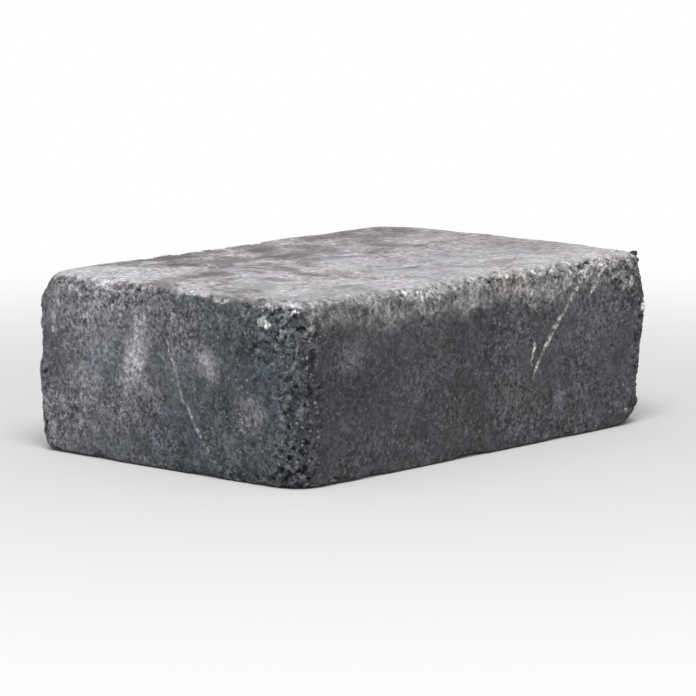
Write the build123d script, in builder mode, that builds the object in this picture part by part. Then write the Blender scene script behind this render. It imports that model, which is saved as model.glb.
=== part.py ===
# Tumbled concrete stacking block: one solid, pressed in a mould and then worn in a drum.
# Millimetres. X runs along the length, Y along the width, Z up; the origin is the middle of the bed.
# Front is -Y, back is +Y, left is -X, right is +X, and the bed is the underside.
import os
from math import sqrt

from build123d import *

# Size of the block, over the fullest part of its sides
block_length = 300.0
block_width = 200.0
block_height = 100.0

# The sides are arcs, fullest at the swell height, that fall back this far by the bed
swell_height = 60.0
bed_fall = 2.0

# Worn radius of the arrises: the four uprights, then the edges of the top and of the bed
left_front_radius = 17.0
right_front_radius = 7.0
right_back_radius = 12.0
left_back_radius = 7.0
top_radius = 6.0
bed_radius = 4.0

# Knocked corners: how far each break runs back along the length, the width and the height
right_back_top_break = (23.0, 28.0, 18.0)
left_back_top_break = (18.0, 20.0, 20.0)
right_front_bed_break = (22.0, 20.0, 20.0)
right_back_bed_break = (22.0, 24.0, 17.0)
break_rim_radius = 4.0

# Chips out of the arrises: distance from the middle of the arris, and depth of the bite.
# Along the length and the width the distance counts to the right and to the back, and up an upright.
chip_ball_radius = 55.0
front_top_chips = [(-96.0, 1.2), (-31.0, 1.7), (52.0, 1.0), (104.0, 1.5)]
back_top_chips = [(-70.0, 2.2), (9.0, 1.1), (83.0, 1.8)]
front_bed_chips = [(-88.0, 1.4), (-6.0, 2.0), (71.0, 1.2)]
back_bed_chips = [(-58.0, 1.6), (34.0, 1.2), (101.0, 2.1)]
left_top_chips = [(-42.0, 1.0), (37.0, 1.9)]
right_top_chips = [(-70.0, 2.0), (-14.0, 1.5), (34.0, 2.2)]
left_bed_chips = [(-29.0, 1.5), (48.0, 1.1)]
right_bed_chips = [(-12.0, 1.8), (55.0, 1.2)]
left_front_chips = [(-11.0, 1.2)]
right_front_chips = [(8.0, 0.8)]
right_back_chips = [(-6.0, 1.5)]
left_back_chips = [(13.0, 1.8)]

# Worked out from those sizes: the arc of the sides, and how far it falls back by the top
half_length = block_length / 2
half_width = block_width / 2
side_arc_radius = (swell_height**2 + bed_fall**2) / (2 * bed_fall)
top_fall = side_arc_radius - sqrt(side_arc_radius**2 - (block_height - swell_height) ** 2)


def swelled_section(plane, half_span):
    # Flat bed and top, and two sides that swell between them.
    foot = half_span - bed_fall
    head = half_span - top_fall
    with BuildSketch(plane) as section:
        with BuildLine():
            Line((-foot, 0), (foot, 0))
            ThreePointArc((foot, 0), (half_span, swell_height), (head, block_height))
            Line((head, block_height), (-head, block_height))
            ThreePointArc((-head, block_height), (-half_span, swell_height), (-foot, 0))
        make_face()
    return section.sketch


def level(side_z):
    # Height of the bed for -1, of the middle for 0 and of the top for 1.
    return block_height * (side_z + 1) / 2


def break_plane(side_x, side_y, side_z, setback):
    # The plane of a knocked corner, through one point on each of the three arrises that met there.
    along_length, along_width, along_height = setback
    start = Vector(side_x * (half_length - along_length), side_y * half_width, level(side_z))
    outward = Vector(side_x / along_length, side_y / along_width, side_z / along_height)
    return Plane(origin=start, z_dir=outward)


def chip_place(on_arris, along, outward, worn_radius, depth):
    # Where the ball stands that bites to that depth under the worn arris, with its seam turned outward.
    worn_away = worn_radius * (sqrt(2) - 1)
    centre = on_arris + outward.normalized() * (chip_ball_radius - depth - worn_away)
    return Plane(origin=centre, x_dir=outward, z_dir=along)


uprights = [
    (-1, -1, left_front_radius, left_front_chips),
    (1, -1, right_front_radius, right_front_chips),
    (1, 1, right_back_radius, right_back_chips),
    (-1, 1, left_back_radius, left_back_chips),
]
length_arrises = [
    (-1, 1, top_fall, top_radius, front_top_chips),
    (1, 1, top_fall, top_radius, back_top_chips),
    (-1, -1, bed_fall, bed_radius, front_bed_chips),
    (1, -1, bed_fall, bed_radius, back_bed_chips),
]
width_arrises = [
    (-1, 1, top_fall, top_radius, left_top_chips),
    (1, 1, top_fall, top_radius, right_top_chips),
    (-1, -1, bed_fall, bed_radius, left_bed_chips),
    (1, -1, bed_fall, bed_radius, right_bed_chips),
]
corner_breaks = [
    (1, 1, 1, right_back_top_break),
    (-1, 1, 1, left_back_top_break),
    (1, -1, -1, right_front_bed_break),
    (1, 1, -1, right_back_bed_break),
]

chip_places = []
for side_x, side_y, radius, chips in uprights:
    outward = Vector(side_x, side_y, 0)
    for height, depth in chips:
        on_arris = Vector(side_x * half_length, side_y * half_width, level(0) + height)
        chip_places.append(chip_place(on_arris, Vector(0, 0, 1), outward, radius, depth))
for side_y, side_z, fall, radius, chips in length_arrises:
    outward = Vector(0, side_y, side_z)
    for along, depth in chips:
        on_arris = Vector(along, side_y * (half_width - fall), level(side_z))
        chip_places.append(chip_place(on_arris, Vector(1, 0, 0), outward, radius, depth))
for side_x, side_z, fall, radius, chips in width_arrises:
    outward = Vector(side_x, 0, side_z)
    for across, depth in chips:
        on_arris = Vector(side_x * (half_length - fall), across, level(side_z))
        chip_places.append(chip_place(on_arris, Vector(0, 1, 0), outward, radius, depth))

with BuildPart() as block:
    # The pressed block, with swelled sides and sharp arrises
    extrude(swelled_section(Plane.XZ.offset(-block_width), half_length), amount=2 * block_width)
    side = swelled_section(Plane.YZ.offset(-block_length), half_width)
    extrude(side, amount=2 * block_length, mode=Mode.INTERSECT)

    # Worn arrises
    for side_x, side_y, radius, chips in uprights:
        middle = (side_x * half_length, side_y * half_width, level(0))
        fillet(block.edges().sort_by_distance(middle)[0], radius)
    fillet(block.faces().sort_by(Axis.Z)[-1].edges(), top_radius)
    fillet(block.faces().sort_by(Axis.Z)[0].edges(), bed_radius)

    # Knocked corners, with their rims worn round
    for side_x, side_y, side_z, setback in corner_breaks:
        plane = break_plane(side_x, side_y, side_z, setback)
        split(bisect_by=plane, keep=Keep.BOTTOM)
        fillet(block.faces().filter_by(plane).sort_by_distance(plane.origin)[0].edges(), break_rim_radius)

    # Chips
    with Locations(*chip_places):
        Sphere(chip_ball_radius, mode=Mode.SUBTRACT)

block.part.label = "stacking_block"

os.makedirs("parts", exist_ok=True)
export_step(block.part, "parts/stacking_block.step")
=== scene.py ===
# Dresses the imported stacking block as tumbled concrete: worn skin in real mesh, colour and grit in nodes.
import math

import bmesh
import bpy
import numpy as np
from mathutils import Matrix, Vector, kdtree, noise


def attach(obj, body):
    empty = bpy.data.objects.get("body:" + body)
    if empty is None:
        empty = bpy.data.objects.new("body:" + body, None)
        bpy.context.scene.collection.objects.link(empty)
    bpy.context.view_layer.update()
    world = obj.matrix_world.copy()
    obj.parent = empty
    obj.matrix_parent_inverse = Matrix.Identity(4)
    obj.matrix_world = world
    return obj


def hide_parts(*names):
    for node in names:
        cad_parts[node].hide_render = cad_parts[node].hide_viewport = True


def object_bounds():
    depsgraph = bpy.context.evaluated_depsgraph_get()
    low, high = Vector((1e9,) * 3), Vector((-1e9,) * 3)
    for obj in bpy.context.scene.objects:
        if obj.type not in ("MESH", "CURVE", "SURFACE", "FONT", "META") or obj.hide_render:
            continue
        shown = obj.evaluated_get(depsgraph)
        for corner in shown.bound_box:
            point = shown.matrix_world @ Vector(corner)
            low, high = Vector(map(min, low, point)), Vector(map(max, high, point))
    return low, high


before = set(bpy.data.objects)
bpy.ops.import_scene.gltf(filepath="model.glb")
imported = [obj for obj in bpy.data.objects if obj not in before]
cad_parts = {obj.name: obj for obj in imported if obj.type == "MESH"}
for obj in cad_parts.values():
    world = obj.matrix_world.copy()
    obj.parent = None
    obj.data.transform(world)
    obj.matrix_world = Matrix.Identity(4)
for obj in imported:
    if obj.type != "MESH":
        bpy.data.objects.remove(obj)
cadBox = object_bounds()
mm = 0.001  # a millimetre in Blender's metres: the settings of the block are in millimetres
boxLow, boxHigh = (np.array(corner) / mm for corner in cadBox)
print("frame loaded, box", [round(v, 1) for v in boxHigh - boxLow])

# The block's own wear, in millimetres unless a note says otherwise. A pair of limits gives where something
# starts and where it is full. Heights are over the bed.
block = {
    "node": "stacking_block",
    "weld": 0.002,            # points of the CAD mesh that are this close are one
    "voxel": 0.9,             # working mesh, fine enough for grit on the arrises
    "smoothPasses": 5,
    "mostTriangles": 192000,  # after the flat parts are thinned out
    "seed": 11,
    # the eight corners are worn rounder, within these distances
    "cornerPasses": 130,
    "cornerReach": (50.0, 22.0),
    # the right front upright: worn radius at each height
    "rightHeights": (0.0, 40.0, 68.0, 96.0),
    "rightRadii": (16.0, 16.0, 7.0, 20.0),
    # noise patterns: size, octaves, and how far along the endless noise each one starts
    "wave": (55.0, 2, 1.3),       # slow unevenness of the pressed faces
    "ragged": (16.0, 2, 3.7),     # wandering edge of the worn band
    "nibble": (5.0, 2, 8.1),      # small nicks in that edge
    "rimWander": (40.0, 2, 5.9),  # wandering foot of the rim
    "crumble": (9.0, 2, 2.2),     # rough body of the worn band
    "cavity": (3.7, 3, 9.3),      # holes where stones and crumbs fell out
    "grit": (1.7, 1, 6.4),        # sand between the stones
    # how far the worn band runs from each arris along the faces
    "nearReach": 17.0,
    "rightReach": 18.0,
    "backReach": 10.0,
    "topReach": 4.0,
    "bedReach": 2.5,
    "bandEdge": (-1.0, 2.0),
    "raggedBy": 5.0,
    "nibbleBy": 2.6,
    # under the top the front face has lost its skin, where it faces this much to the front and to a side
    "rimReach": 16.0,
    "rimEdge": (-9.0, 6.0),
    "rimWanderBy": 12.0,
    "rimNibbleBy": 5.2,
    "rimFront": (0.75, 0.95),
    "rimSideways": (0.1, 0.3),
    "rimRough": 0.45,             # share of the band's roughness on the rim
    # where the drum bared more of a face: middle, and half sizes
    "spotReach": 8.0,
    "wornSpots": [
        {"at": (-149, -84, 90), "half": (12, 34, 30)},
        {"at": (140, -99, 90), "half": (22, 12, 26)},
        {"at": (146, 60, 12), "half": (12, 40, 18)},
        {"at": (-40, 99, 96), "half": (46, 12, 14)},
    ],
    # crushed stone that stands in the band, bent out of round by noise that is finer than the stones
    "stoneSize": 3.7,
    "stoneStart": 4.4,
    "stoneBend": 1.2,
    "bendFiner": 1.6,
    "creaseWidth": 0.22,          # share of a stone
    "shadeSpread": 37.0,          # sets neighbouring stones far apart in the noise that shades them
    # heights and depths of the relief
    "waveDepth": 0.6,
    "waveFromBed": (0.0, 6.0),    # the bed stays flat
    "skinStep": 0.2,              # the worn band lies this much under the skin
    "crumbleDepth": 0.55,
    "crumbleSunk": 0.3,           # share of that depth by which it lies lower as a whole
    "stoneDepth": 0.28,
    "creaseDepth": 0.45,
    "gritDepth": 0.35,
    "cavityDepth": 1.3,
    "cavityEdge": (0.26, 0.62),   # of the noise
    "mostProud": 0.1,
    # where more of an upright has crumbled away, with deeper and more cavities
    "moreCavities": 0.25,
    "crumbled": [
        {"at": (-148, -85, 9), "reach": 30.0, "deeper": 1.0},
        {"at": (-148, -86, 90), "reach": 24.0, "deeper": 1.0},
        {"at": (145, -96, 22), "reach": 34.0, "deeper": 0.8},
    ],
    # round dents, drawn at random between these radii and depths: bites along the arrises, pits in the faces
    "bites": {"count": 46, "radius": (3.0, 9.0), "depth": (0.4, 1.4)},
    "bitesFromBed": (4.0, 14.0),
    "facePits": {"count": 300, "radius": (0.8, 1.5), "depth": (0.2, 0.7)},
    "fewerOnBare": 0.9,           # share of the face pits that the worn band lacks
    "pitShadeDark": 0.8,               # how dark the painted shade in a face pit is, beside a cavity
    # crumbs of paste that still hang on a corner, and white stones that stand out of the worn skin
    "crumbs": [
        {"at": (141, -94, 99), "radius": 2.6, "height": 2.0},
        {"at": (147, -95, 95), "radius": 2.2, "height": 1.8},
        {"at": (143, -99, 68), "radius": 3.0, "height": 0.8},
        {"at": (-149, -73, 88), "radius": 4.6, "height": 1.6},
        {"at": (-147, -94, 95), "radius": 3.0, "height": 1.0},
    ],
}


def softStep(limits, values):
    start, full = limits
    share = np.clip((values - start) / (full - start), 0.0, 1.0)
    return share * share * (3.0 - 2.0 * share)


def noiseField(points, pattern):
    size, octaves, start = block[pattern]
    places = (points / size + start).tolist()
    return np.array([noise.fractal(place, 1.0, 2.0, octaves) for place in places])


def stoneField(points):
    # how far into the crease round its stone each point lies, and a shade of its own for each stone
    gaps = np.empty(len(points))
    shades = np.empty(len(points))
    bent = points / block["stoneSize"] + block["stoneStart"]
    ripples = [noise.noise_vector(place) for place in (bent * block["bendFiner"]).tolist()]
    bent += block["stoneBend"] / block["stoneSize"] * np.array(ripples)
    for index, place in enumerate(bent.tolist()):
        away, middles = noise.voronoi(place)
        gaps[index] = away[1] - away[0]
        shades[index] = noise.cell(middles[0] * block["shadeSpread"])
    return softStep((block["creaseWidth"], 0.0), gaps), shades


def readPoints(piece):
    mesh = piece.data
    points = np.empty(len(mesh.vertices) * 3, np.float32)
    normals = np.empty(len(mesh.vertices) * 3, np.float32)
    mesh.vertices.foreach_get("co", points)
    mesh.vertices.foreach_get("normal", normals)
    return points.reshape(-1, 3).astype(float) / mm, normals.reshape(-1, 3).astype(float)


def writePoints(piece, points):
    piece.data.vertices.foreach_set("co", (points * mm).astype(np.float32).ravel())


def applyModifiers(piece):
    graph = bpy.context.evaluated_depsgraph_get()
    made = bpy.data.meshes.new_from_object(piece.evaluated_get(graph))
    piece.modifiers.clear()
    piece.data = made


def denseCopy(node):
    # one closed skin over the CAD solid, in even quads
    skin = node.data.copy()
    shell = bmesh.new()
    shell.from_mesh(skin)
    bmesh.ops.remove_doubles(shell, verts=shell.verts, dist=block["weld"] * mm)
    shell.to_mesh(skin)
    shell.free()
    piece = bpy.data.objects.new("tumbled_block", skin)
    bpy.context.scene.collection.objects.link(piece)
    remesh = piece.modifiers.new("dense", "REMESH")
    remesh.mode = "VOXEL"
    remesh.voxel_size = block["voxel"] * mm
    smooth = piece.modifiers.new("even", "SMOOTH")
    smooth.iterations = block["smoothPasses"]
    applyModifiers(piece)
    print("dense skin has", len(piece.data.vertices), "points")
    return piece


def roundRightUpright(piece):
    # the corner in plan goes back to an arc whose radius changes with the height
    points = readPoints(piece)[0]
    radius = np.interp(points[:, 2] - boxLow[2], block["rightHeights"], block["rightRadii"])
    inCorner = np.c_[radius - (boxHigh[0] - points[:, 0]), radius - (points[:, 1] - boxLow[1])]
    fromMiddle = np.hypot(*np.maximum(inCorner, 0.0).T)
    tooFar = np.maximum(fromMiddle - radius, 0.0) / np.maximum(fromMiddle, 1.0)
    tooFar[(inCorner <= 0.0).any(1)] = 0.0
    points[:, 0] -= tooFar * inCorner[:, 0]
    points[:, 1] += tooFar * inCorner[:, 1]
    writePoints(piece, points)
    piece.data.update()


def roundCorners(piece):
    points = readPoints(piece)[0]
    fromCorner = np.linalg.norm(np.minimum(points - boxLow, boxHigh - points), axis=1)
    weights = softStep(block["cornerReach"], fromCorner)
    group = piece.vertex_groups.new(name="corners")
    for index in np.flatnonzero(weights > 0.01).tolist():
        group.add([index], weights[index], "REPLACE")
    smooth = piece.modifiers.new("corners", "SMOOTH")
    smooth.vertex_group = group.name
    smooth.iterations = block["cornerPasses"]
    applyModifiers(piece)
    piece.vertex_groups.clear()


def wornBands(points, normals):
    # worn is 1 along the arrises and 0 on the pressed faces, rim is 1 under the front of the top
    fromLeft, fromFront, overBed = (points - boxLow).T
    fromRight, fromBack, underTop = (boxHigh - points).T
    inPlan = np.minimum.reduce([fromLeft, fromRight, fromFront, fromBack])
    reaches = [
        block["nearReach"] - np.maximum(fromLeft, fromFront),
        block["rightReach"] - np.maximum(fromRight, fromFront),
        block["backReach"] - np.maximum(fromRight, fromBack),
        block["backReach"] - np.maximum(fromLeft, fromBack),
        block["topReach"] - np.maximum(inPlan, underTop),
        block["bedReach"] - np.maximum(inPlan, overBed),
    ]
    for spot in block["wornSpots"]:
        away = np.linalg.norm((points - np.array(spot["at"])) / np.array(spot["half"]), axis=1)
        reaches.append(block["spotReach"] * (1.0 - away))
    ragged = block["raggedBy"] * noiseField(points, "ragged")
    nibbles = noiseField(points, "nibble")
    worn = softStep(block["bandEdge"], np.maximum.reduce(reaches) + ragged + block["nibbleBy"] * nibbles)
    wander = block["rimWanderBy"] * noiseField(points, "rimWander")
    rim = softStep(block["rimEdge"], block["rimReach"] - underTop + wander + block["rimNibbleBy"] * nibbles)
    sideways = np.hypot(normals[:, 0], normals[:, 1])
    toFront = -normals[:, 1] / np.maximum(sideways, 0.05)
    rim *= softStep(block["rimFront"], toFront) * softStep(block["rimSideways"], sideways)
    return worn, rim


def scatter(tree, points, weights, settings, draw):
    # round dents of random size over the skin: how deep each point lies in one, and how near a middle
    depths = np.zeros(len(points))
    nearness = np.zeros(len(points))
    chosen = draw.choice(len(points), settings["count"], p=weights / weights.sum())
    radii = draw.uniform(*settings["radius"], settings["count"])
    dents = draw.uniform(*settings["depth"], settings["count"])
    for middle, radius, dent in zip(chosen, radii, dents):
        for place, index, away in tree.find_range(points[middle], radius):
            share = 1.0 - (away / radius) ** 2
            depths[index] = max(depths[index], dent * share)
            nearness[index] = max(nearness[index], share)
    return depths, nearness


def wearBlock(piece):
    draw = np.random.default_rng(block["seed"])
    noise.seed_set(block["seed"])  # unseeded, noise_vector is another one in each run
    points, normals = readPoints(piece)
    tree = kdtree.KDTree(len(points))
    for index, point in enumerate(points.tolist()):
        tree.insert(point, index)
    tree.balance()
    worn, rim = wornBands(points, normals)
    bare = np.maximum(worn, block["rimRough"] * rim)
    overBed = points[:, 2] - boxLow[2]
    wave = np.clip(noiseField(points, "wave") + 0.5, 0.0, 1.0)
    wave *= softStep(block["waveFromBed"], overBed)
    crease, shades = stoneField(points)
    deeper = np.zeros(len(points))
    for spot in block["crumbled"]:
        away = np.linalg.norm(points - np.array(spot["at"]), axis=1)
        deeper = np.maximum(deeper, spot["deeper"] * softStep((spot["reach"], 0.0), away))
    cavity = softStep(block["cavityEdge"], noiseField(points, "cavity") + block["moreCavities"] * deeper)
    bitten = worn * softStep(block["bitesFromBed"], overBed) + 1e-6
    bites = scatter(tree, points, bitten, block["bites"], draw)[0]
    facePits, facePitNear = scatter(tree, points, 1.0 - block["fewerOnBare"] * bare, block["facePits"], draw)
    crumble = noiseField(points, "crumble") + block["crumbleSunk"]
    rough = block["skinStep"] + block["crumbleDepth"] * crumble - block["stoneDepth"] * shades
    rough += block["creaseDepth"] * crease + block["gritDepth"] * noiseField(points, "grit")
    rough += block["cavityDepth"] * (1.0 + deeper) * cavity
    sunk = block["waveDepth"] * wave + bare * np.maximum(rough, -block["mostProud"]) + worn * bites + facePits
    sunk = np.maximum(sunk, 0.0)
    # painted shade: the cavities of the worn band and the face pits are darkened in the colour as well as
    # sunk in the mesh
    holeShade = np.maximum(bare * cavity, block["pitShadeDark"] * facePitNear)
    for crumb in block["crumbs"]:
        middle = tree.find(crumb["at"])[0]
        for place, index, away in tree.find_range(middle, crumb["radius"]):
            share = 1.0 - (away / crumb["radius"]) ** 2
            sunk[index] -= crumb["height"] * share
            holeShade[index] *= 1.0 - share
    writePoints(piece, np.clip(points - normals * sunk[:, None], boxLow, boxHigh))
    looks = {"worn": worn, "rim": rim, "pitShade": holeShade, "stone": shades, "crease": crease}
    for name, values in looks.items():
        layer = piece.data.attributes.new(name, "FLOAT", "POINT")
        layer.data.foreach_set("value", values.astype(np.float32))
    layer = piece.data.attributes.new("facing", "FLOAT_VECTOR", "POINT")  # which way the unworn skin faced
    layer.data.foreach_set("vector", normals.astype(np.float32).ravel())


def thinBlock(piece):
    piece.data.calc_loop_triangles()
    share = block["mostTriangles"] / len(piece.data.loop_triangles)
    thin = piece.modifiers.new("thin", "DECIMATE")
    thin.ratio = min(1.0, share)
    applyModifiers(piece)
    piece.data.polygons.foreach_set("use_smooth", [True] * len(piece.data.polygons))
    piece.data.calc_loop_triangles()
    print("block has", len(piece.data.loop_triangles), "triangles")


# The six sides laid out on one sheet, so that the finish can be put on flat pictures.
# Each side: the way it faces, its two directions on the sheet, and its corner there in millimetres.
sheet = {
    "name": "OFBake",
    "width": 510.0,
    "sides": [
        ((0, 0, 1), (1, 0, 0), (0, 1, 0), (2.5, 2.5)),
        ((0, 0, -1), (1, 0, 0), (0, -1, 0), (2.5, 207.5)),
        ((0, -1, 0), (1, 0, 0), (0, 0, 1), (2.5, 407.5)),
        ((-1, 0, 0), (0, -1, 0), (0, 0, 1), (307.5, 2.5)),
        ((1, 0, 0), (0, 1, 0), (0, 0, 1), (307.5, 107.5)),
        ((0, 1, 0), (0, 0, 1), (1, 0, 0), (307.5, 207.5)),
    ],
}


def layOutSides(piece):
    mesh = piece.data
    corners = np.empty(len(mesh.loops), np.int32)
    mesh.loops.foreach_get("vertex_index", corners)
    counts = np.empty(len(mesh.polygons), np.int32)
    mesh.polygons.foreach_get("loop_total", counts)
    facing = np.empty(len(mesh.vertices) * 3, np.float32)
    mesh.attributes["facing"].data.foreach_get("vector", facing)
    sums = np.add.reduceat(facing.reshape(-1, 3)[corners], np.r_[0, np.cumsum(counts)[:-1]])
    ways = np.array([side[0] for side in sheet["sides"]], float)
    chosen = np.repeat((sums @ ways.T).argmax(1), counts)
    points = readPoints(piece)[0][corners] - (boxLow + boxHigh) / 2
    places = np.zeros((len(corners), 2))
    for index, (way, across, up, corner) in enumerate(sheet["sides"]):
        here = chosen == index
        for column, direction in enumerate((across, up)):
            half = np.abs(direction) @ (boxHigh - boxLow) / 2
            places[here, column] = points[here] @ np.array(direction, float) + half + corner[column]
    layer = mesh.uv_layers.new(name=sheet["name"])
    layer.data.foreach_set("uv", (places / sheet["width"]).astype(np.float32).ravel())


def linear(hexColour):
    channels = [int(hexColour[at:at + 2], 16) / 255 for at in (1, 3, 5)]
    return [c / 12.92 if c <= 0.04045 else ((c + 0.055) / 1.055) ** 2.4 for c in channels] + [1.0]


def addNode(tree, kind, settings=None, links=None):
    # settings name the node's own properties or its inputs, links name its inputs
    node = tree.nodes.new(kind)
    for name, value in (settings or {}).items():
        if isinstance(name, str) and hasattr(node, name):
            setattr(node, name, value)
        else:
            node.inputs[name].default_value = value
    for name, source in (links or {}).items():
        tree.links.new(source, node.inputs[name])
    return node
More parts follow.
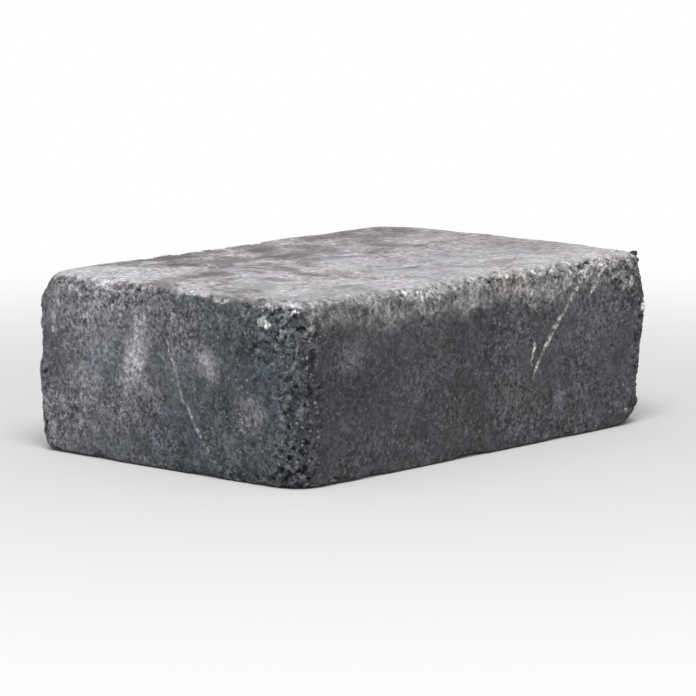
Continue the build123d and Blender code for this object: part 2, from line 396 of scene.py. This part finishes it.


# Pigmented concrete, pressed and then tumbled: a matt, gritty, cloudy charcoal skin, bluer and paler on the
# left end, pale bloom on the top, bared grains along the arrises and painted shade in their holes, white rubs
# and scratches.
# In a range, 1 and 2 are the limits of what comes in, and 3 and 4 are what they turn into, or else 0 and 1.
# In a drift, noise is multiplied by 1, and 2 is added.
concrete = {
    "roughness": 0.9,
    "ior": 1.5,
    # noise patterns, sizes in millimetres; paste is drawn about twice as coarse as it is, so that it shows
    "patterns": {
        "cloud": {"size": 75.0, "Detail": 3.0},
        "mottle": {"size": 17.0, "Detail": 5.0, "Roughness": 0.65, "Distortion": 0.5},
        "streak": {"size": 6.0, "Detail": 4.0},
        "smear": {"size": 44.0, "Detail": 8.0, "Roughness": 0.72, "Distortion": 0.9},
        "paste": {"size": 3.2, "Detail": 4.0, "Roughness": 0.7},
        "blotch": {"size": 8.0, "Detail": 3.0, "Roughness": 0.6},
        "tint": {"size": 38.0, "Detail": 2.0},
        "shake": {"size": 13.0, "Detail": 4.0},
    },
    "streakSqueeze": (1.0, 1.0, 0.12),    # streaks run up the sides
    "brokenRange": {1: 0.38, 2: 0.6},     # how paste and streaks break up what lies on them
    # dark and pale cloud of the pigment: on all but the left end, and on that end to the back and the front
    "charcoal": ("#3a3b3d", "#56555a"),
    "slateFar": ("#5f6165", "#898a90"),
    "slateNear": ("#404449", "#62656b"),
    "mottleShare": 0.55,
    "streakShare": 0.12,
    "toneRange": {1: 0.38, 2: 0.62},
    "slateTurn": {1: 75.0, 2: -55.0},     # a range along the width
    "slateDrift": {1: 160.0, 2: -80.0},   # by how much the clouds shift that
    "leftRange": {1: -0.45, 2: -0.85},    # how far a side faces to the left
    # bloom: paler towards the front, with less contrast towards the front right, ragged on the arrises
    "bloom": ("#8c8688", "#aca7aa", "#c9c6ca"),
    "bloomTurn": (0.40, 0.50, 0.61),
    "bloomMiddle": 0.5,
    "frontGain": {3: -0.02, 4: 0.09},
    "plainWay": (0.6, -0.8, 0.0),
    "plainRange": {1: -70.0, 2: 100.0, 3: 2.1, 4: 0.6},
    "bloomDrift": {1: 0.5, 2: -0.25},
    "upRange": {1: 0.5, 2: 0.85},
    # the front's bared rim, in patches, with a whiter lip that is partly paler bloom and partly painted
    # highlight where the arris turns up, and a drift of tint over everything
    "rim": "#979591",
    "paleLipAndHighlight": "#b0aeab",
    "patchShare": 0.5,
    "patchRange": {1: 0.4, 2: 0.58, 3: 0.25, 4: 1.0},
    "lipRange": {1: 0.3, 2: 0.6},
    "tintDrift": {1: (0.16, 0.11, 0.16), 2: (0.92, 0.945, 0.92)},
    # stones of the worn band: light of each, and painted shade in the creases between them
    "stoneRange": {1: -1.0, 2: 1.0, 3: 0.5, 4: 1.7},
    "creaseShadeRange": {3: 1.1, 4: 0.6},
    # light and dark of paste, patches and sand; sand is drawn about twice as coarse as it is
    "sandSize": 1.4,
    "sandBend": 2.4,                      # sand, grains and pinholes are bent out of round by this much
    "pasteRange": {1: 0.34, 2: 0.66, 3: 0.35, 4: 1.65},
    "blotchRange": {1: 0.34, 2: 0.66, 3: 0.74, 4: 1.26},
    "sandRange": {3: 0.38, 4: 1.62},
    "unevenRange": {1: 0.4, 2: 0.6, 3: 0.6, 4: 1.06},
    "pasteUnderBloom": {3: 1.0, 4: 0.72},
    "sandUnderBloom": {3: 1.0, 4: 0.33},
    # pale grains, and pinholes darkened with painted shade: more of them on bared skin
    "dots": {
        "grain": {"colour": "#a9a9ac", "size": 1.9, "moreOnBare": 0.26},
        "shadedPinhole": {"colour": "#1f1f21", "size": 3.6, "moreOnBare": 0.13},
    },
    "dotDrawn": {1: 0.68, 2: 0.98},
    "dotReach": {3: 0.2, 4: 0.55},        # share of the size
    "dotFade": 0.3,
    "dotStrength": {3: 0.65, 4: 0.8},
    # relief too fine for the mesh
    "sandRelief": -0.5,
    "bumpStrength": 0.8,
    "bumpHeight": 0.6,
    # marks on the skin: wander shakes their outline, edge is where they start and are full, grain is what is
    # left of them between the grains, and streaky is how much they follow the streaks of the mould
    "marks": [
        {   # dark clouds on the sides, and the left end darker towards its bottom
            "colour": "#303438", "wander": 30.0, "edge": {1: 0.0, 2: 0.9}, "grain": 0.6, "streaky": 0.2,
            "spots": [
                {"at": (-150, 82, 60), "half": (12, 16, 30), "strength": 0.55},
                {"at": (-150, -58, 72), "half": (12, 26, 30), "turn": (20, 0, 0), "strength": 0.4},
                # the whole left end, darker towards its bottom
                {"at": (-150, 0, 4), "half": (40, 170, 70), "strength": 0.44},
                {"at": (-150, -6, 20), "half": (12, 66, 26), "strength": 0.55},
                {"at": (-150, 0, 40), "half": (12, 22, 18), "strength": 0.65},
                {"at": (-150, -45, 38), "half": (12, 26, 22), "strength": 0.78},
                {"at": (-150, 14, 12), "half": (12, 30, 20), "strength": 0.75},
                {"at": (-150, -86, 14), "half": (12, 16, 18), "strength": 0.6},
                {"at": (-112, -100, 58), "half": (66, 12, 42), "strength": 0.85},
                {"at": (-124, -100, 94), "half": (28, 14, 14), "strength": 0.5},
                {"at": (-8, -100, 62), "half": (36, 12, 20), "strength": 0.3},
                {"at": (112, -100, 50), "half": (20, 12, 26), "strength": 0.35},
            ],
        },
        {   # blue of the pigment where the skin is thin
            "colour": "#56657a", "wander": 26.0, "edge": {1: 0.0, 2: 0.9}, "grain": 0.5, "streaky": 0.0,
            "spots": [
                {"at": (-150, 48, 54), "half": (12, 26, 22), "strength": 0.35},
                {"at": (-150, -72, 60), "half": (12, 18, 30), "strength": 0.4},
                {"at": (-150, -12, 22), "half": (12, 34, 16), "strength": 0.25},
            ],
        },
        {   # bloom at its thickest
            "colour": "#d1cfd3", "wander": 18.0, "edge": {1: 0.0, 2: 0.3}, "grain": 0.8, "streaky": 0.0,
            "spots": [
                {"at": (-130, 57, 101), "half": (46, 44, 6), "strength": 1.0},
                {"at": (-17, 0, 100), "half": (14, 12, 9), "strength": 0.75},
                {"at": (-76, -16, 100), "half": (9, 9, 9), "strength": 0.4},
                {"at": (14, 62, 100), "half": (9, 8, 9), "strength": 0.4},
                {"at": (-128, -30, 100), "half": (10, 14, 9), "turn": (0, 0, -30), "strength": 0.4},
                {"at": (-122, -80, 101), "half": (40, 26, 6), "strength": 0.45},
                {"at": (-40, -98, 100), "half": (40, 9, 9), "strength": 0.45},
                {"at": (-12, -76, 100), "half": (46, 24, 9), "strength": 0.4},
                {"at": (95, -88, 100), "half": (60, 18, 9), "turn": (0, 0, 6), "strength": 0.5},
            ],
        },
        {   # places where the press wiped the bloom away
            "colour": "#5f5b5d", "wander": 20.0, "edge": {1: 0.0, 2: 0.55}, "grain": 0.5, "streaky": 0.0,
            "spots": [
                {"at": (-57, 86, 100), "half": (38, 14, 9), "turn": (0, 0, -4), "strength": 1.0},
                {"at": (-77, 57, 100), "half": (12, 11, 8), "strength": 1.0},
                {"at": (-122, 17, 100), "half": (26, 8, 8), "turn": (0, 0, 8), "strength": 0.4},
                {"at": (-90, 16, 100), "half": (13, 16, 8), "strength": 0.8},
                {"at": (-64, 30, 100), "half": (18, 12, 8), "turn": (0, 0, -10), "strength": 0.5},
                {"at": (-120, -34, 100), "half": (32, 20, 8), "turn": (0, 0, 10), "strength": 0.4},
                {"at": (-58, -34, 100), "half": (26, 16, 8), "strength": 0.35},
                {"at": (40, -22, 100), "half": (64, 18, 8), "turn": (0, 0, 4), "strength": 0.24},
                {"at": (-87, -24, 100), "half": (10, 15, 8), "turn": (0, 0, 10), "strength": 0.75},
                {"at": (-116, -20, 100), "half": (10, 12, 8), "strength": 0.45},
                {"at": (-48, 6, 100), "half": (16, 12, 8), "turn": (0, 0, -20), "strength": 0.4},
                {"at": (-12, 38, 100), "half": (22, 13, 9), "turn": (0, 0, -20), "strength": 0.7},
                {"at": (3, 69, 100), "half": (12, 9, 9), "strength": 0.8},
                {"at": (68, 84, 100), "half": (34, 12, 9), "turn": (0, 0, -4), "strength": 0.5},
                {"at": (118, 70, 100), "half": (18, 14, 9), "strength": 0.5},
                {"at": (40, 13, 100), "half": (18, 9, 9), "turn": (0, 0, 25), "strength": 0.55},
                {"at": (-10, -46, 100), "half": (22, 10, 9), "turn": (0, 0, 10), "strength": 0.24},
            ],
        },
        {   # soft pale rubs
            "colour": "#b3b1b8", "wander": 12.0, "edge": {1: 0.0, 2: 0.9}, "grain": 0.75, "streaky": 0.25,
            "spots": [
                {"at": (-150, 20, 66), "half": (12, 13, 40), "turn": (17, 0, 0), "strength": 0.9},
                {"at": (-150, 19, 55), "half": (12, 10, 19), "turn": (17, 0, 0), "strength": 1.0},
                {"at": (-150, -33, 63), "half": (12, 10, 17), "turn": (-35, 0, 0), "strength": 0.7},
                {"at": (-150, -66, 38), "half": (12, 14, 15), "strength": 0.4},
                {"at": (-150, 31, 37), "half": (12, 3, 11), "turn": (10, 0, 0), "strength": 0.8},
                {"at": (-150, 56, 46), "half": (12, 20, 12), "strength": 0.4},
                {"at": (-150, 50, 64), "half": (12, 24, 20), "strength": 0.3},
                {"at": (-149, 83, 76), "half": (12, 3, 14), "strength": 0.6},
                {"at": (-150, 36, 90), "half": (12, 70, 20), "strength": 0.35},
                {"at": (67, -100, 22), "half": (7, 12, 15), "strength": 0.35},
                {"at": (-108, -100, 68), "half": (20, 12, 15), "strength": 0.2},
                {"at": (-25, -100, 93), "half": (44, 14, 16), "strength": 0.26},
                {"at": (85, -100, 93), "half": (80, 14, 16), "strength": 0.23},
                {"at": (100, -100, 66), "half": (50, 12, 30), "strength": 0.1},
            ],
        },
        {   # scratches
            "colour": "#c6c5c4", "wander": 6.0, "edge": {1: 0.0, 2: 0.6}, "grain": 0.1, "streaky": 0.0,
            "spots": [
                {"at": (-150, -9, 58), "half": (9, 1.4, 25), "turn": (-19, 0, 0), "strength": 0.45},
                {"at": (-150, -24, 27), "half": (9, 1.6, 24), "turn": (-34, 0, 0), "strength": 0.6},
                {"at": (80, -100, 82), "half": (23, 9, 1.9), "turn": (0, -47, 0), "strength": 1.0},
                {"at": (60, -100, 61), "half": (22, 9, 2.3), "turn": (0, -49, 0), "strength": 1.0},
                {"at": (101, -100, 87), "half": (13, 9, 1.9), "turn": (0, -42, 0), "strength": 1.0},
                {"at": (43, -100, 52), "half": (8, 9, 1.9), "turn": (0, -75, 0), "strength": 1.0},
                {"at": (47, -100, 43), "half": (9, 9, 1.7), "turn": (0, -65, 0), "strength": 1.0},
            ],
        },
        {   # bared white stones
            "colour": "#dadbdc", "wander": 5.0, "edge": {1: 0.05, 2: 0.45}, "grain": 0.6, "streaky": 0.0,
            "spots": [
                {"at": (-149, -73, 88), "half": (6, 6.5, 4.6), "turn": (10, 0, 0), "strength": 1.0},
                {"at": (-147, -94, 95), "half": (5, 3.6, 3.2), "strength": 1.0},
                {"at": (143, -99, 68), "half": (4.2, 5, 3.2), "strength": 1.0},
                {"at": (139, -98, 24), "half": (3, 5, 2.2), "strength": 0.4},
                {"at": (129, -98, 9), "half": (2.6, 5, 2.0), "strength": 0.35},
                {"at": (-150, 79, 85), "half": (5, 2.8, 2.6), "strength": 0.75},
                {"at": (-150, 83, 77), "half": (5, 2.4, 4.4), "strength": 0.5},
                {"at": (-150, 85, 69), "half": (5, 2.0, 2.4), "strength": 0.6},
            ],
        },
        {   # dark grit on the front and its right corner
            "colour": "#262626", "wander": 4.0, "edge": {1: 0.1, 2: 0.4}, "grain": 0.8, "streaky": 0.0,
            "spots": [
                {"at": (141, -94, 100), "half": (5, 5, 4), "strength": 1.0},
                {"at": (148, -95, 96), "half": (5, 5, 4), "strength": 1.0},
                {"at": (88, -99, 97), "half": (7, 4, 3), "strength": 0.9},
                {"at": (-6, -100, 80), "half": (9, 6, 5), "strength": 0.6},
            ],
        },
    ],
}
smoothly = {"interpolation_type": "SMOOTHSTEP"}


def readSurface(tree):
    # what the nodes know of the skin: its place in millimetres, its wear, which way it faces, its patterns
    place = addNode(tree, "ShaderNodeTexCoord")
    at = addNode(tree, "ShaderNodeVectorMath", {"operation": "SCALE", "Scale": 1 / mm},
                 {0: place.outputs["Object"]}).outputs[0]
    squeezed = addNode(tree, "ShaderNodeVectorMath", {"operation": "MULTIPLY", 1: concrete["streakSqueeze"]},
                       {0: at})
    way = addNode(tree, "ShaderNodeAttribute", {"attribute_name": "facing"})
    facing = addNode(tree, "ShaderNodeSeparateXYZ", None, {0: way.outputs["Vector"]})
    surface = {"at": at, "facingX": facing.outputs["X"], "facingZ": facing.outputs["Z"]}
    surface["alongY"] = addNode(tree, "ShaderNodeSeparateXYZ", None, {0: at}).outputs["Y"]
    for name in ("worn", "rim", "pitShade", "stone", "crease"):
        surface[name] = addNode(tree, "ShaderNodeAttribute", {"attribute_name": name}).outputs["Fac"]
    for name, pattern in concrete["patterns"].items():
        settings = {"Scale": 1 / pattern["size"]}
        settings.update((key, value) for key, value in pattern.items() if key != "size")
        source = squeezed.outputs[0] if name == "streak" else at
        made = addNode(tree, "ShaderNodeTexNoise", settings, {"Vector": source})
        surface[name] = made.outputs["Fac"]
        surface[name + "Colour"] = made.outputs["Color"]
    for name, pattern in (("broken", "paste"), ("striped", "streak")):
        surface[name] = addNode(tree, "ShaderNodeMapRange", concrete["brokenRange"],
                                {0: surface[pattern]}).outputs[0]
    return surface


def pigmentColour(tree, surface):
    # cloudy pigment: broad clouds, mottling, and streaks that the mould left on the sides
    clouded = addNode(tree, "ShaderNodeMix", {"data_type": "FLOAT", 0: concrete["mottleShare"]},
                      {2: surface["cloud"], 3: surface["mottle"]})
    streaked = addNode(tree, "ShaderNodeMix", {"data_type": "FLOAT", 0: concrete["streakShare"]},
                       {2: clouded.outputs[0], 3: surface["streak"]})
    tone = addNode(tree, "ShaderNodeMapRange", concrete["toneRange"], {0: streaked.outputs[0]})
    pigments = {}
    for name in ("charcoal", "slateFar", "slateNear"):
        dark, pale = (linear(colour) for colour in concrete[name])
        pigments[name] = addNode(tree, "ShaderNodeMix", {"data_type": "RGBA", 6: dark, 7: pale},
                                 {0: tone.outputs[0]}).outputs[2]
    drift = addNode(tree, "ShaderNodeMath", {"operation": "MULTIPLY_ADD", **concrete["slateDrift"]},
                    {0: surface["cloud"]})
    turned = addNode(tree, "ShaderNodeMath", {"operation": "ADD"},
                     {0: drift.outputs[0], 1: surface["alongY"]})
    nearer = addNode(tree, "ShaderNodeMapRange", {**smoothly, **concrete["slateTurn"]},
                     {0: turned.outputs[0]})
    slate = addNode(tree, "ShaderNodeMix", {"data_type": "RGBA"},
                    {0: nearer.outputs[0], 6: pigments["slateFar"], 7: pigments["slateNear"]})
    leftward = addNode(tree, "ShaderNodeMapRange", {**smoothly, **concrete["leftRange"]},
                       {0: surface["facingX"]})
    return addNode(tree, "ShaderNodeMix", {"data_type": "RGBA"},
                   {0: leftward.outputs[0], 6: pigments["charcoal"], 7: slate.outputs[2]}).outputs[2]


def bloomColour(tree, surface, under):
    # pale smears on whatever faces up, and how far each place faces up
    frontward = addNode(tree, "ShaderNodeMapRange", {1: boxHigh[1], 2: boxLow[1], **concrete["frontGain"]},
                        {0: surface["alongY"]})
    toFrontRight = addNode(tree, "ShaderNodeVectorMath",
                           {"operation": "DOT_PRODUCT", 1: concrete["plainWay"]}, {0: surface["at"]})
    plainer = addNode(tree, "ShaderNodeMapRange", concrete["plainRange"], {0: toFrontRight.outputs["Value"]})
    smeared = addNode(tree, "ShaderNodeMix",
                      {"data_type": "FLOAT", "clamp_factor": False, 2: concrete["bloomMiddle"]},
                      {0: plainer.outputs[0], 3: surface["smear"]})
    bloomLevel = addNode(tree, "ShaderNodeMath", {"operation": "ADD"},
                      {0: frontward.outputs[0], 1: smeared.outputs[0]})
    bloom = addNode(tree, "ShaderNodeValToRGB", None, {0: bloomLevel.outputs[0]})
    ramp = bloom.color_ramp.elements
    ramp.new(concrete["bloomTurn"][1])
    for step, position, colour in zip(ramp, concrete["bloomTurn"], concrete["bloom"]):
        step.position = position
        step.color = linear(colour)
    ragged = addNode(tree, "ShaderNodeMath", {"operation": "MULTIPLY_ADD", **concrete["bloomDrift"]},
                     {0: surface["mottle"]})
    lifted = addNode(tree, "ShaderNodeMath", {"operation": "ADD"},
                     {0: ragged.outputs[0], 1: surface["facingZ"]})
    surface["upward"] = addNode(tree, "ShaderNodeMapRange", {**smoothly, **concrete["upRange"]},
                                {0: lifted.outputs[0]}).outputs[0]
    return addNode(tree, "ShaderNodeMix", {"data_type": "RGBA"},
                   {0: surface["upward"], 6: under, 7: bloom.outputs[0]}).outputs[2]


def rimColour(tree, surface, under):
    # the front's bared rim, warm and pale, with a whiter lip that is partly paler bloom and partly painted
    # highlight where the arris turns up, and a drift of tint over everything
    patches = addNode(tree, "ShaderNodeMix", {"data_type": "FLOAT", 0: concrete["patchShare"]},
                      {2: surface["mottle"], 3: surface["blotch"]})
    patchy = addNode(tree, "ShaderNodeMapRange", concrete["patchRange"], {0: patches.outputs[0]})
    rimmed = addNode(tree, "ShaderNodeMath", {"operation": "MULTIPLY"},
                     {0: patchy.outputs[0], 1: surface["rim"]})
    sided = addNode(tree, "ShaderNodeMath", {"operation": "SUBTRACT", 0: 1.0}, {1: surface["upward"]})
    rimShare = addNode(tree, "ShaderNodeMath", {"operation": "MULTIPLY"},
                       {0: rimmed.outputs[0], 1: sided.outputs[0]})
    edged = addNode(tree, "ShaderNodeMix", {"data_type": "RGBA", 7: linear(concrete["rim"])},
                    {0: rimShare.outputs[0], 6: under})
    # painted highlight, in part: the lip is whitened where the rim's arris turns up towards the light
    onLip = addNode(tree, "ShaderNodeMapRange", {**smoothly, **concrete["lipRange"]}, {0: surface["facingZ"]})
    lipped = addNode(tree, "ShaderNodeMath", {"operation": "MULTIPLY"},
                     {0: onLip.outputs[0], 1: surface["rim"]})
    lipShare = addNode(tree, "ShaderNodeMath", {"operation": "MULTIPLY"},
                       {0: lipped.outputs[0], 1: surface["broken"]})
    lipAndHighlight = addNode(tree, "ShaderNodeMix", {"data_type": "RGBA", 7: linear(concrete["paleLipAndHighlight"])},
                       {0: lipShare.outputs[0], 6: edged.outputs[2]})
    tinting = addNode(tree, "ShaderNodeVectorMath", {"operation": "MULTIPLY_ADD", **concrete["tintDrift"]},
                      {0: surface["tintColour"]})
    return addNode(tree, "ShaderNodeVectorMath", {"operation": "MULTIPLY"},
                   {0: lipAndHighlight.outputs[2], 1: tinting.outputs[0]}).outputs[0]


def markedColour(tree, surface, under):
    # marks, each kind over the one before
    shift = addNode(tree, "ShaderNodeVectorMath", {"operation": "SUBTRACT", 1: (0.5, 0.5, 0.5)},
                    {0: surface["shakeColour"]})
    for kind in concrete["marks"]:
        shaken = addNode(tree, "ShaderNodeVectorMath", {"operation": "MULTIPLY_ADD", 1: [kind["wander"]] * 3},
                         {0: shift.outputs[0], 2: surface["at"]})
        covered = None
        for spot in kind["spots"]:
            turn = [math.radians(degrees) for degrees in spot.get("turn", (0, 0, 0))]
            local = addNode(tree, "ShaderNodeMapping",
                            {"vector_type": "TEXTURE", "Location": spot["at"], "Rotation": turn,
                             "Scale": spot["half"]}, {"Vector": shaken.outputs[0]})
            ball = addNode(tree, "ShaderNodeTexGradient", {"gradient_type": "SPHERICAL"},
                           {"Vector": local.outputs[0]})
            filled = addNode(tree, "ShaderNodeMapRange", {**smoothly, **kind["edge"], 4: spot["strength"]},
                             {0: ball.outputs["Fac"]}).outputs[0]
            if covered is None:
                covered = filled
            else:
                covered = addNode(tree, "ShaderNodeMath", {"operation": "MAXIMUM"},
                                  {0: covered, 1: filled}).outputs[0]
        texture = addNode(tree, "ShaderNodeMix", {"data_type": "FLOAT", 0: kind["streaky"]},
                          {2: surface["broken"], 3: surface["striped"]})
        kept = addNode(tree, "ShaderNodeMapRange", {3: kind["grain"], 4: 1.0}, {0: texture.outputs[0]})
        share = addNode(tree, "ShaderNodeMath", {"operation": "MULTIPLY"}, {0: covered, 1: kept.outputs[0]})
        under = addNode(tree, "ShaderNodeMix", {"data_type": "RGBA", 7: linear(kind["colour"])},
                        {0: share.outputs[0], 6: under}).outputs[2]
    return under


def grittyColour(tree, surface, under):
    # bared stones along the arrises, each in its own tone, with painted shade in the creases
    shade = addNode(tree, "ShaderNodeMapRange", concrete["stoneRange"], {0: surface["stone"]})
    # painted shade: the creases between the stones are darkened
    creaseShade = addNode(tree, "ShaderNodeMapRange", concrete["creaseShadeRange"], {0: surface["crease"]})
    stony = addNode(tree, "ShaderNodeMath", {"operation": "MULTIPLY"},
                    {0: shade.outputs[0], 1: creaseShade.outputs[0]})
    stoniness = addNode(tree, "ShaderNodeMix", {"data_type": "FLOAT", 2: 1.0},
                        {0: surface["worn"], 3: stony.outputs[0]})

    # paste and sand over everything, a little out of round, that the bloom hides and that show unevenly
    surface["bent"] = addNode(tree, "ShaderNodeVectorMath",
                              {"operation": "MULTIPLY_ADD", 1: [concrete["sandBend"]] * 3},
                              {0: surface["pasteColour"], 2: surface["at"]}).outputs[0]
    sand = addNode(tree, "ShaderNodeTexVoronoi", {"Scale": 1 / concrete["sandSize"]},
                   {"Vector": surface["bent"]})
    surface["sandDistance"] = sand.outputs["Distance"]
    sandDraw = addNode(tree, "ShaderNodeSeparateColor", None, {0: sand.outputs["Color"]})
    sandTone = addNode(tree, "ShaderNodeMapRange", concrete["sandRange"], {0: sandDraw.outputs[0]})
    pasteTone = addNode(tree, "ShaderNodeMapRange", concrete["pasteRange"], {0: surface["paste"]})
    blotchTone = addNode(tree, "ShaderNodeMapRange", concrete["blotchRange"], {0: surface["blotch"]})
    patchyTone = addNode(tree, "ShaderNodeMath", {"operation": "MULTIPLY"},
                         {0: pasteTone.outputs[0], 1: blotchTone.outputs[0]})
    uneven = addNode(tree, "ShaderNodeMapRange", concrete["unevenRange"], {0: surface["tint"]})
    lightness = stoniness.outputs[0]
    for cover, tone in (("pasteUnderBloom", patchyTone), ("sandUnderBloom", sandTone)):
        hidden = addNode(tree, "ShaderNodeMapRange", concrete[cover], {0: surface["upward"]})
        shown = addNode(tree, "ShaderNodeMath", {"operation": "MULTIPLY"},
                        {0: hidden.outputs[0], 1: uneven.outputs[0]})
        grit = addNode(tree, "ShaderNodeMix", {"data_type": "FLOAT", "clamp_factor": False, 2: 1.0},
                       {0: shown.outputs[0], 3: tone.outputs[0]})
        lightness = addNode(tree, "ShaderNodeMath", {"operation": "MULTIPLY"},
                            {0: grit.outputs[0], 1: lightness}).outputs[0]
    return addNode(tree, "ShaderNodeVectorMath", {"operation": "SCALE"},
                   {0: under, "Scale": lightness}).outputs[0]


def dottedColour(tree, surface, under):
    # pale grains, then painted shade in the pinholes and in the holes of the mesh
    bare = addNode(tree, "ShaderNodeMath", {"operation": "MAXIMUM"},
                   {0: surface["worn"], 1: surface["rim"]}).outputs[0]
    most = addNode(tree, "ShaderNodeMapRange", concrete["dotStrength"], {0: bare})
    for name, dot in concrete["dots"].items():
        cells = addNode(tree, "ShaderNodeTexVoronoi", {"Scale": 1 / dot["size"]}, {"Vector": surface["bent"]})
        draw = addNode(tree, "ShaderNodeSeparateColor", None, {0: cells.outputs["Color"]})
        chance = addNode(tree, "ShaderNodeMath", {"operation": "MULTIPLY_ADD", 1: dot["moreOnBare"]},
                         {0: bare, 2: draw.outputs[0]})
        drawn = addNode(tree, "ShaderNodeMapRange", concrete["dotDrawn"], {0: chance.outputs[0]})
        reach = addNode(tree, "ShaderNodeMapRange", concrete["dotReach"], {0: draw.outputs[1]})
        inside = addNode(tree, "ShaderNodeMath", {"operation": "SUBTRACT", 1: concrete["dotFade"]},
                         {0: reach.outputs[0]})
        core = addNode(tree, "ShaderNodeMapRange", None,
                       {0: cells.outputs["Distance"], 1: reach.outputs[0], 2: inside.outputs[0],
                        4: most.outputs[0]})
        surface[name] = addNode(tree, "ShaderNodeMath", {"operation": "MULTIPLY"},
                                {0: drawn.outputs[0], 1: core.outputs[0]}).outputs[0]
        share = surface[name]
        if name == "shadedPinhole":
            share = addNode(tree, "ShaderNodeMath", {"operation": "MAXIMUM"},
                            {0: share, 1: surface["pitShade"]}).outputs[0]
        # painted shade: pinholes and the holes of the mesh are mixed towards near black
        under = addNode(tree, "ShaderNodeMix", {"data_type": "RGBA", 7: linear(dot["colour"])},
                        {0: share, 6: under}).outputs[2]
    return under


def concreteMaterial():
    material = bpy.data.materials.new("pigmented_concrete_tumbled")
    material.use_nodes = True
    tree = material.node_tree
    tree.nodes.clear()
    surface = readSurface(tree)
    colour = pigmentColour(tree, surface)
    for layer in (bloomColour, rimColour, markedColour, grittyColour, dottedColour):
        colour = layer(tree, surface, colour)
    # relief too fine for the mesh: sand grains, pinholes and the paste between them
    raised = addNode(tree, "ShaderNodeMath", {"operation": "MULTIPLY_ADD", 1: concrete["sandRelief"]},
                     {0: surface["sandDistance"], 2: surface["paste"]})
    relief = addNode(tree, "ShaderNodeMath", {"operation": "SUBTRACT"},
                     {0: raised.outputs[0], 1: surface["shadedPinhole"]})
    bump = addNode(tree, "ShaderNodeBump",
                   {"Strength": concrete["bumpStrength"], "Distance": concrete["bumpHeight"] * mm},
                   {"Height": relief.outputs[0]})
    shader = addNode(tree, "ShaderNodeBsdfPrincipled",
                     {"Roughness": concrete["roughness"], "IOR": concrete["ior"]},
                     {"Base Color": colour, "Normal": bump.outputs[0]})
    addNode(tree, "ShaderNodeOutputMaterial", None, {"Surface": shader.outputs[0]})
    return material


blockPiece = denseCopy(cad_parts[block["node"]])
roundRightUpright(blockPiece)
roundCorners(blockPiece)
wearBlock(blockPiece)
thinBlock(blockPiece)
layOutSides(blockPiece)
blockPiece.data.materials.clear()
blockPiece.data.materials.append(concreteMaterial())
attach(blockPiece, "root")
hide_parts(block["node"])
print("block worn and coloured")

# Plain pale floor and soft studio light, in metres and watts
studio = {
    "floorColour": "#f2f2f2",
    "floorWidth": 40.0,
    "floorFade": {1: 0.2, 2: 0.8},  # from the block, over which the floor turns into the white backdrop
    "skyStrength": 0.42,
    "keyAt": (-1.1, -1.0, 2.6),
    "keySize": 1.6,
    "keyPower": 52.0,
}
white = (1.0, 1.0, 1.0, 1.0)


def floorMaterial():
    # matt paper near the block, so that its shadow shows, and plain white further off for what looks at it
    material = bpy.data.materials.new("studio_paper_matt")
    material.use_nodes = True
    tree = material.node_tree
    tree.nodes.clear()
    place = addNode(tree, "ShaderNodeTexCoord")
    away = addNode(tree, "ShaderNodeVectorMath", {"operation": "LENGTH"}, {0: place.outputs["Object"]})
    far = addNode(tree, "ShaderNodeMapRange", {**smoothly, **studio["floorFade"]}, {0: away.outputs["Value"]})
    path = addNode(tree, "ShaderNodeLightPath")
    looking = addNode(tree, "ShaderNodeMath", {"operation": "MAXIMUM"},
                      {0: path.outputs["Is Camera Ray"], 1: path.outputs["Is Glossy Ray"]})
    whiten = addNode(tree, "ShaderNodeMath", {"operation": "MULTIPLY"},
                     {0: far.outputs[0], 1: looking.outputs[0]})
    paper = addNode(tree, "ShaderNodeBsdfDiffuse", {"Color": linear(studio["floorColour"])})
    backdrop = addNode(tree, "ShaderNodeEmission", {"Color": white, "Strength": 1.0})
    both = addNode(tree, "ShaderNodeMixShader", None,
                   {0: whiten.outputs[0], 1: paper.outputs[0], 2: backdrop.outputs[0]})
    addNode(tree, "ShaderNodeOutputMaterial", None, {"Surface": both.outputs[0]})
    return material


def makeStudio():
    bpy.ops.mesh.primitive_plane_add(size=studio["floorWidth"])
    floor = bpy.context.object
    floor.name = "studio_floor"
    floor.location.z = cadBox[0].z
    floor.data.materials.append(floorMaterial())
    world = bpy.data.worlds.new("studio")
    bpy.context.scene.world = world
    world.use_nodes = True
    tree = world.node_tree
    tree.nodes.clear()
    path = addNode(tree, "ShaderNodeLightPath")
    looking = addNode(tree, "ShaderNodeMath", {"operation": "MAXIMUM"},
                      {0: path.outputs["Is Camera Ray"], 1: path.outputs["Is Glossy Ray"]})
    seen = addNode(tree, "ShaderNodeMapRange", {3: studio["skyStrength"], 4: 1.0}, {0: looking.outputs[0]})
    sky = addNode(tree, "ShaderNodeBackground", {"Color": white}, {"Strength": seen.outputs[0]})
    addNode(tree, "ShaderNodeOutputWorld", None, {"Surface": sky.outputs[0]})
    lamp = bpy.data.lights.new("softbox", "AREA")
    lamp.shape = "SQUARE"
    lamp.size = studio["keySize"]
    lamp.energy = studio["keyPower"]
    softbox = bpy.data.objects.new("softbox", lamp)
    bpy.context.scene.collection.objects.link(softbox)
    softbox.location = studio["keyAt"]
    softbox.rotation_euler = (Vector((0, 0, 0)) - softbox.location).to_track_quat("-Z", "Y").to_euler()


# The photograph's viewpoint in metres, with a longer lens so that the block fills the square frame
camera = {
    "standsAt": (-1.690, -1.512, 0.398),
    "aimsAt": (0.0, 0.0, 0.050),
    "lens": 210.0,    # millimetres, as is the sensor
    "sensor": 36.0,
}


def makeCamera():
    lens = bpy.data.cameras.new("camera")
    lens.lens = camera["lens"]
    lens.sensor_width = camera["sensor"]
    eye = bpy.data.objects.new("camera", lens)
    bpy.context.scene.collection.objects.link(eye)
    eye.location = camera["standsAt"]
    eye.rotation_euler = (Vector(camera["aimsAt"]) - eye.location).to_track_quat("-Z", "Y").to_euler()
    bpy.context.scene.camera = eye


makeStudio()
makeCamera()
bpy.context.scene.view_settings.view_transform = "Standard"
print("studio and camera made")
